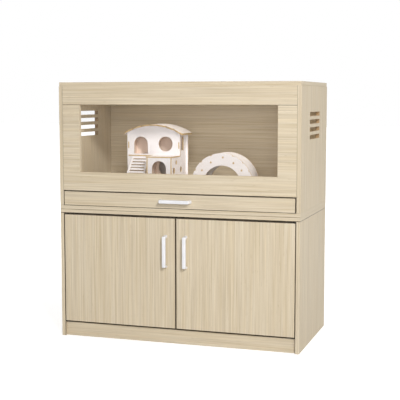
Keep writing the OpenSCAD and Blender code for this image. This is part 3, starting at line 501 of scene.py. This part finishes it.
stairs_low, stairs_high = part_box("house_stairs")
stairs_run = stairs_high.y - stairs_low.y
stairs_rise = stairs_high.z - stairs_low.z
stairs_slant = math.hypot(stairs_run, stairs_rise)
stairs_face = (0, -stairs_rise / stairs_slant, stairs_run / stairs_slant)
dress("house_stairs", plywood("stairs", stairs_face))
print("the stairs' face points along", [round(c, 3) for c in stairs_face])

# %% [markdown]
# ## Raw birch
# Dowels, the tunnel's rods and the drawer's bottom sheet are bare birch: warm, even, with a soft
# figure. The figure is one noise pattern, drawn out along the grain like the oak's.

# %% The birch finish
BIRCH_DARK = srgb(202, 174, 132)
BIRCH_PALE = srgb(230, 206, 168)
BIRCH_FIGURE = (0.006, 0.2)


def birch(name, grain):
    made = Finish("birch_" + name, rough=0.6)
    figure = made.noise(made.scaled(along_grain(grain, BIRCH_FIGURE)), detail=4.0, rough=0.6)
    made.colour(made.ramp(figure, ((0.35, BIRCH_DARK), (0.65, BIRCH_PALE))))
    made.bump(figure, GRAIN_DEPTH, GRAIN_STRENGTH)
    return made.mat


bare = {"wood_dowels": "X", "drawer_dowels": "Y", "arch_rods": "Y", "drawer_bottom": "X"}
for name, grain in bare.items():
    dress(name, birch(name, grain))
print("bare birch:", ", ".join(bare))

# %% [markdown]
# ## Metal fittings
# Runners, hinges, screws and cams are zinc-plated steel. Rolled sheet has faint lines along its length,
# and plating is slightly cloudy, which shows in the roughness more than in the colour. The doors' pivot
# plates are dark metal, and their dark colour is painted shade: it keeps the gap above and below a door
# as dark as its shadow.

# %% The metal finish
CLOUD_DIM = 0.86

# The roughness starts below the given one, and clouds and lines add to it
WEAR_START = -0.12
CLOUD_WEAR = 0.16
LINE_WEAR = 0.12


def plated(name, colour, rough, lines):
    """Plated steel. lines is the scale of its fine lines along X, Y and Z."""
    made = Finish("metal_" + name, rough=rough, metal=1.0)
    cloud = made.noise(made.where, scale=70.0, detail=3.0)
    brushed = made.noise(made.scaled(lines), detail=3.0)
    dim = tuple(c * CLOUD_DIM for c in colour)
    made.colour(made.ramp(cloud, ((0.3, dim), (0.7, colour))))
    worn = made.math("ADD", made.math("MULTIPLY", cloud, CLOUD_WEAR),
                     made.math("MULTIPLY", brushed, LINE_WEAR))
    made.roughness(made.math("ADD", worn, rough + WEAR_START))
    made.bump(brushed, distance=0.00005, strength=0.25)
    return made.mat


rolled = plated("rolled", srgb(206, 208, 210), rough=0.34, lines=(900.0, 4.0, 900.0))
turned = plated("turned", srgb(190, 192, 196), rough=0.28, lines=(500.0, 500.0, 500.0))
# Dark metal for the pivot plates, as painted shade for the gap above and below a door
blackened_gap_shade = plated("blackened_gap_shade", srgb(72, 68, 62), rough=0.5, lines=(4.0, 900.0, 900.0))
print("metals:", rolled.name, turned.name, blackened_gap_shade.name)

# %% Dress the fittings
sheet_parts = ("slides_outer", "slides_middle", "slides_inner", "case_hinge_leaves",
               "lid_hinge_leaves", "strike_left", "strike_right")
round_parts = ("shelf_pins", "stack_bolts", "cam_locks", "cam_bolts", "case_screws", "pane_screws",
               "lid_screws", "hinge_pins", "handle_screws_left", "handle_screws_right",
               "handle_screws_drawer")
for name in sheet_parts:
    dress(name, rolled)
for name in round_parts:
    dress(name, turned)
dress("pivot_plates", blackened_gap_shade)
print("nodes of sheet:", len(sheet_parts), "nodes of turned parts:", len(round_parts))

# %% [markdown]
# ## White lacquer
# The handles are white with a soft gloss. Sprayed lacquer is never quite flat: it has a very fine
# orange peel, which is a weak bump here, under a thin clear coat.

# %% The lacquer
LACQUER_SHADE = srgb(222, 222, 225)
LACQUER_LIGHT = srgb(229, 229, 232)


def lacquer():
    made = Finish("white_lacquer", rough=0.3)
    orange_peel = made.noise(made.where, scale=420.0)
    cloud = made.noise(made.where, scale=30.0)
    made.colour(made.ramp(cloud, ((0.3, LACQUER_SHADE), (0.7, LACQUER_LIGHT))))
    made.bump(orange_peel, distance=0.00004, strength=0.3)
    made.shader.inputs["Coat Weight"].default_value = 0.15
    made.shader.inputs["Coat Roughness"].default_value = 0.15
    return made.mat


white_lacquer = lacquer()
print("made", white_lacquer.name)

# %% [markdown]
# ## The catch, in painted shade
# The doors' double catch is moulded plastic. Its dark colour is painted shade: the catch sits in the
# gap above the doors, and the colour stands for the shadow there.

# %% Dark plastic, in painted shade
# The catch's colours are painted shade for the gap above the doors
CATCH_SHADE_DARK = srgb(52, 44, 36)
CATCH_SHADE_PALE = srgb(66, 56, 46)


def catch_plastic_painted_shade():
    made = Finish("catch_plastic_painted_shade", rough=0.55)
    grit = made.noise(made.where, scale=900.0)
    made.colour(made.ramp(grit, ((0.3, CATCH_SHADE_DARK), (0.7, CATCH_SHADE_PALE))))
    made.bump(grit, distance=0.00005, strength=0.3)
    return made.mat


dress("door_catch", catch_plastic_painted_shade())
print("dressed the catch")

# %% [markdown]
# ## The pane
# The pane is clear acrylic. True refraction would darken the case behind it and fill it with noise, so
# it is a mostly transparent surface that lets the light straight through and only keeps its gloss.

# %% The clear pane
POLISH = 0.02
SMEAR = 0.03


def clear_pane():
    made = Finish("clear_pane", rough=0.04)
    smear = made.noise(made.where, scale=5.0)
    made.roughness(made.math("ADD", made.math("MULTIPLY", smear, SMEAR), POLISH))
    made.shader.inputs["Base Color"].default_value = (0.3, 0.32, 0.31, 1.0)
    made.shader.inputs["Alpha"].default_value = 0.04
    made.shader.inputs["Specular IOR Level"].default_value = 0.15
    return made.mat


dress("window_pane", clear_pane())
print("dressed the pane")

# %% [markdown]
# ## The bow handles
# A bow handle is one bent bar: a flat grip and two legs that lean out a little. It could be swept along
# a path, but its corners are easier to control as a box. It starts as a cube of the grip's size. Two
# cuts mark off where the legs go, the legs are pulled out of the back as faces, and bevels turn the
# corners round, first the ends as seen from the front, then every sharp edge that is left, apart from
# the legs' feet on the board. It is modelled once, lying along X.

# %% The handle's sizes
drawer_low, drawer_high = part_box("handle_drawer")
handle_len = drawer_high.x - drawer_low.x
handle_out = drawer_high.y - drawer_low.y
handle_wide = drawer_high.z - drawer_low.z
GRIP_THICK = 0.007
LEG_THICK = 0.009
LEG_LEAN = 0.0035
grip_half = handle_len / 2 - LEG_LEAN
leg_inside = grip_half - LEG_THICK
print("handle:", [round(size, 4) for size in (handle_len, handle_out, handle_wide)])

# %% Ways to cut and to pick


def deselect():
    """Leaves nothing selected, so that the next operator acts on the new piece alone."""
    if bpy.context.object and bpy.context.object.mode != "OBJECT":
        bpy.ops.object.mode_set(mode="OBJECT")
    bpy.ops.object.select_all(action="DESELECT")


def cut_across(x):
    """Cuts the piece in edit mode with a plane across X."""
    bpy.ops.mesh.select_all(action="SELECT")
    bpy.ops.mesh.bisect(plane_co=(x, 0, 0), plane_no=(1, 0, 0))


def pick(piece, kind, test):
    """Selects the faces or edges in edit mode that pass a test."""
    bpy.ops.mesh.select_all(action="DESELECT")
    shape = bmesh.from_edit_mesh(piece.data)
    for part in getattr(shape, kind):
        if test(part):
            part.select_set(True)
    shape.select_flush_mode()
    bmesh.update_edit_mesh(piece.data)


print("selected after loading:", len(bpy.context.selected_objects))

# %% Which faces and edges to pick
TINY = 1e-5
FACES_BACK = 0.9
NEAR_RIM = 0.4
SHARP_ANGLE = math.radians(35)


def is_leg_root(face, side):
    """The patch on the grip's back that a leg grows from, at the end named by side, -1 or 1."""
    corners = [vertex.co for vertex in face.verts]
    middle = sum(corners, Vector()) / len(corners)
    return face.normal.y > FACES_BACK and middle.x * side > leg_inside


def is_end_corner(edge):
    """An edge through the bar's thickness at one of the grip's four corners."""
    ends = [vertex.co for vertex in edge.verts]
    at_end = all(abs(co.x) > grip_half - TINY for co in ends)
    at_rim = all(abs(co.z) > handle_wide * NEAR_RIM for co in ends)
    return at_end and at_rim and abs(ends[0].z - ends[1].z) < TINY


def is_sharp(edge):
    """A sharp edge that doesn't lie on the board."""
    off_board = max(vertex.co.y for vertex in edge.verts) < -TINY
    return len(edge.link_faces) == 2 and edge.calc_face_angle(0) > SHARP_ANGLE and off_board


print("an edge is sharp from", round(math.degrees(SHARP_ANGLE)), "degrees")

# %% Model one handle
END_RADIUS = 0.0042
EDGE_RADIUS = 0.0016
END_SEGMENTS = 5
EDGE_SEGMENTS = 3
SMOOTH_ANGLE = math.radians(50)


def model_handle():
    deselect()
    bpy.ops.mesh.primitive_cube_add(size=1, location=(0, -handle_out + GRIP_THICK / 2, 0),
                                    scale=(2 * grip_half, GRIP_THICK, handle_wide))
    piece = bpy.context.object
    bpy.ops.object.transform_apply(location=True, scale=True)
    bpy.ops.object.mode_set(mode="EDIT")
    bpy.ops.mesh.select_mode(type="FACE")
    for side in (-1, 1):
        cut_across(side * leg_inside)
    for side in (-1, 1):
        pick(piece, "faces", lambda face: is_leg_root(face, side))
        leg = (side * LEG_LEAN, handle_out - GRIP_THICK, 0)
        bpy.ops.mesh.extrude_region_move(TRANSFORM_OT_translate={"value": leg})
    bpy.ops.mesh.select_mode(type="EDGE")
    pick(piece, "edges", is_end_corner)
    bpy.ops.mesh.bevel(offset=END_RADIUS, segments=END_SEGMENTS, affect="EDGES")
    pick(piece, "edges", is_sharp)
    bpy.ops.mesh.bevel(offset=EDGE_RADIUS, segments=EDGE_SEGMENTS, affect="EDGES",
                       clamp_overlap=True)
    bpy.ops.mesh.select_all(action="SELECT")
    bpy.ops.mesh.normals_make_consistent(inside=False)
    bpy.ops.object.mode_set(mode="OBJECT")
    bpy.ops.object.shade_smooth_by_angle(angle=SMOOTH_ANGLE)
    piece.data.materials.append(white_lacquer)
    return piece


master = model_handle()
print("handle faces:", len(master.data.polygons))

# %% [markdown]
# ## Three handles from one
# The doors' handles stand upright and the drawer's lies. Each copy gets its own mesh, is turned and
# moved into its node's box, and has both applied, so that the object itself stays at the origin. Then
# the node that it takes the place of is hidden, and the copy is hung on the empty of the body that
# carries it.

# %% Place the three handles


def place_handle(name, node, body, upright):
    """A copy of the handle, with its own mesh, in the box of its node."""
    deselect()
    piece = master.copy()
    piece.data = master.data.copy()
    piece.name = piece.data.name = name
    scene.collection.objects.link(piece)
    low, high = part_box(node)
    centre = (low + high) / 2
    piece.location = (centre.x, high.y, centre.z)
    piece.rotation_euler = (0, math.radians(90) if upright else 0, 0)
    piece.select_set(True)
    bpy.context.view_layer.objects.active = piece
    bpy.ops.object.transform_apply(location=True, rotation=True, scale=True)
    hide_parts(node)
    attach(piece, body)
    print(name, "rides on", body)


place_handle("bow_handle_left", "handle_left", "door_left", True)
place_handle("bow_handle_right", "handle_right", "door_right", True)
place_handle("bow_handle_drawer", "handle_drawer", "drawer", False)
bpy.data.objects.remove(master)

# %% [markdown]
# ## The floor
# The floor is white to the camera right up to the horizon, yet near the cage it has to be a real
# surface that takes a shadow. So what the camera sees is part glow and part paint: beside the cage
# there is less glow, and the paint shows the shadow, and further out the glow takes over, so that
# no line shows where the floor ends. What the floor throws back onto the wood is its paint alone.

# %% The floor's finish
FLOOR_PAINT = 0.7
PAINT_DRIFT = 0.02
NEAR_GLOW = 0.54
SHADOW_REACH = (0.9, 2.6)


def seen_directly(finish):
    """1 for what the camera, a reflection or a clear pane looks at, and 0 for light on its way."""
    rays = finish.add("ShaderNodeLightPath").outputs
    mirrored = finish.math("MAXIMUM", rays["Is Glossy Ray"], rays["Is Transmission Ray"])
    return finish.math("MAXIMUM", rays["Is Camera Ray"], mirrored)


def studio_white():
    made = Finish("studio_white", rough=0.9)
    away = made.vector_math("LENGTH", made.where, result="Value")
    far = made.fade(away, *SHADOW_REACH, NEAR_GLOW, 1.0, curve="SMOOTHSTEP")
    cloud = made.noise(made.where, scale=1.5)
    dull = (FLOOR_PAINT,) * 3
    fresh = (FLOOR_PAINT + PAINT_DRIFT,) * 3
    made.colour(made.ramp(cloud, ((0.3, dull), (0.7, fresh))))
    made.shader.inputs["Emission Color"].default_value = (1, 1, 1, 1)
    glow = made.math("MULTIPLY", far, seen_directly(made))
    made.tree.links.new(glow, made.shader.inputs["Emission Strength"])
    return made.mat


print("the glow is full from", SHADOW_REACH[1], "m outwards")

# %% Lay the floor
FLOOR_SIZE = 60
deselect()
bpy.ops.mesh.primitive_plane_add(size=FLOOR_SIZE, location=(0, 0, 0))
floor = bpy.context.object
floor.name = "studio_floor"
floor.data.materials.append(studio_white())
print("floor:", FLOOR_SIZE, "m across")

# %% [markdown]
# ## The room's light
# The wood is lit the way a catalogue photo is, in a white room that gives the soft base level. The
# room is full white to the camera, in a reflection and through the pane, and dim as a light, so that
# the lamps still give the boards their shape.

# %% World
WORLD_LIGHT = 0.15
world = bpy.data.worlds.new("studio")
scene.world = world
world.use_nodes = True
sky = world.node_tree
background = sky.nodes["Background"]
background.inputs["Color"].default_value = (1, 1, 1, 1)
rays = sky.nodes.new("ShaderNodeLightPath")
level = None
for kind in ("Is Camera Ray", "Is Glossy Ray", "Is Transmission Ray"):
    either = sky.nodes.new("ShaderNodeMath")
    either.operation = "MAXIMUM"
    either.inputs[1].default_value = WORLD_LIGHT
    sky.links.new(rays.outputs[kind], either.inputs[0])
    if level:
        sky.links.new(level, either.inputs[1])
    level = either.outputs[0]
sky.links.new(level, background.inputs["Strength"])
print("the room's share of the light:", WORLD_LIGHT)

# %% [markdown]
# ## Lamps around the cage
# The main lamp stands high in front, to the right, so the boards are brightest at the top right, and
# a weaker one at eye level reaches through the pane to the back wall. Three more lamps, at the right,
# the left and behind, serve the sides and the back. Large square lamps keep every shadow soft.

# %% Set up the lamps
middle_of_cage = (0, 0, cabinet_top / 2)


def soft_lamp(name, place, width, depth, watts):
    """A white rectangular area lamp that looks straight down."""
    lamp = bpy.data.lights.new(name, "AREA")
    lamp.shape = "RECTANGLE"
    lamp.size = width
    lamp.size_y = depth
    lamp.energy = watts
    holder = bpy.data.objects.new(name, lamp)
    holder.location = place
    scene.collection.objects.link(holder)
    return holder


# Lamp, its place, the length of its sides in metres, and its power in watts
lamps = [
    ("lamp_main", (3.4, -5.2, 3.7), 0.8, 281),
    ("lamp_camera", (1.2, -4.6, 1.3), 1.8, 60),
    ("lamp_right", (4.4, -0.6, 1.9), 2.0, 43),
    ("lamp_left", (-4.4, 0.4, 2.0), 2.0, 40),
    ("lamp_behind", (-1.2, 4.5, 2.6), 2.4, 120),
]
for name, place, side, watts in lamps:
    lamp = soft_lamp(name, place, side, side, watts)
    aim = Vector(middle_of_cage) - Vector(place)
    lamp.rotation_euler = aim.to_track_quat("-Z", "Y").to_euler()
print("lamps around the cage:", len(lamps))

# %% [markdown]
# ## A lamp under the lid
# White play furniture in a closed case goes dull, so a photographer puts a small light under the lid,
# and so does this scene. It is warm and weak, looks straight down with its long side across the cage,
# and is itself seen neither by the camera nor in a reflection.

# %% The lamp under the lid
WARM = (1.0, 0.95, 0.88)
RIGHT_OF_MIDDLE = 0.06
BEHIND_FRONT = 0.2
BELOW_LID = 0.012
under_lid = (RIGHT_OF_MIDDLE, front_y + BEHIND_FRONT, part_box("lid")[0].z - BELOW_LID)
inner_lamp = soft_lamp("lamp_under_lid", under_lid, width=0.85, depth=0.2, watts=0.9)
inner_lamp.data.color = WARM
inner_lamp.visible_camera = False
inner_lamp.visible_glossy = False
print("lamp under the lid at", [round(c, 3) for c in under_lid])

# %% [markdown]
# ## The camera
# Place, turn and lens come from the photo's own perspective: the cabinet's upright edges and its
# receding side fix all three. The Standard view transform shows colours as they were mixed.

# %% Camera
CAMERA_PLACE = (1.26848, front_y - 3.56743, 0.97521)
PITCH_DOWN = 5.961
YAW = 18.118
LENS = 87.12
SENSOR = 36.0
camera_data = bpy.data.cameras.new("camera")
camera_data.lens = LENS
camera_data.sensor_width = SENSOR
camera = bpy.data.objects.new("camera", camera_data)
camera.location = CAMERA_PLACE
camera.rotation_euler = (math.radians(90 - PITCH_DOWN), 0, math.radians(YAW))
scene.collection.objects.link(camera)
scene.camera = camera
scene.view_settings.view_transform = "Standard"
print("camera:", round(Vector(CAMERA_PLACE).length, 2), "m from the middle of the cage's foot")

# %% [markdown]
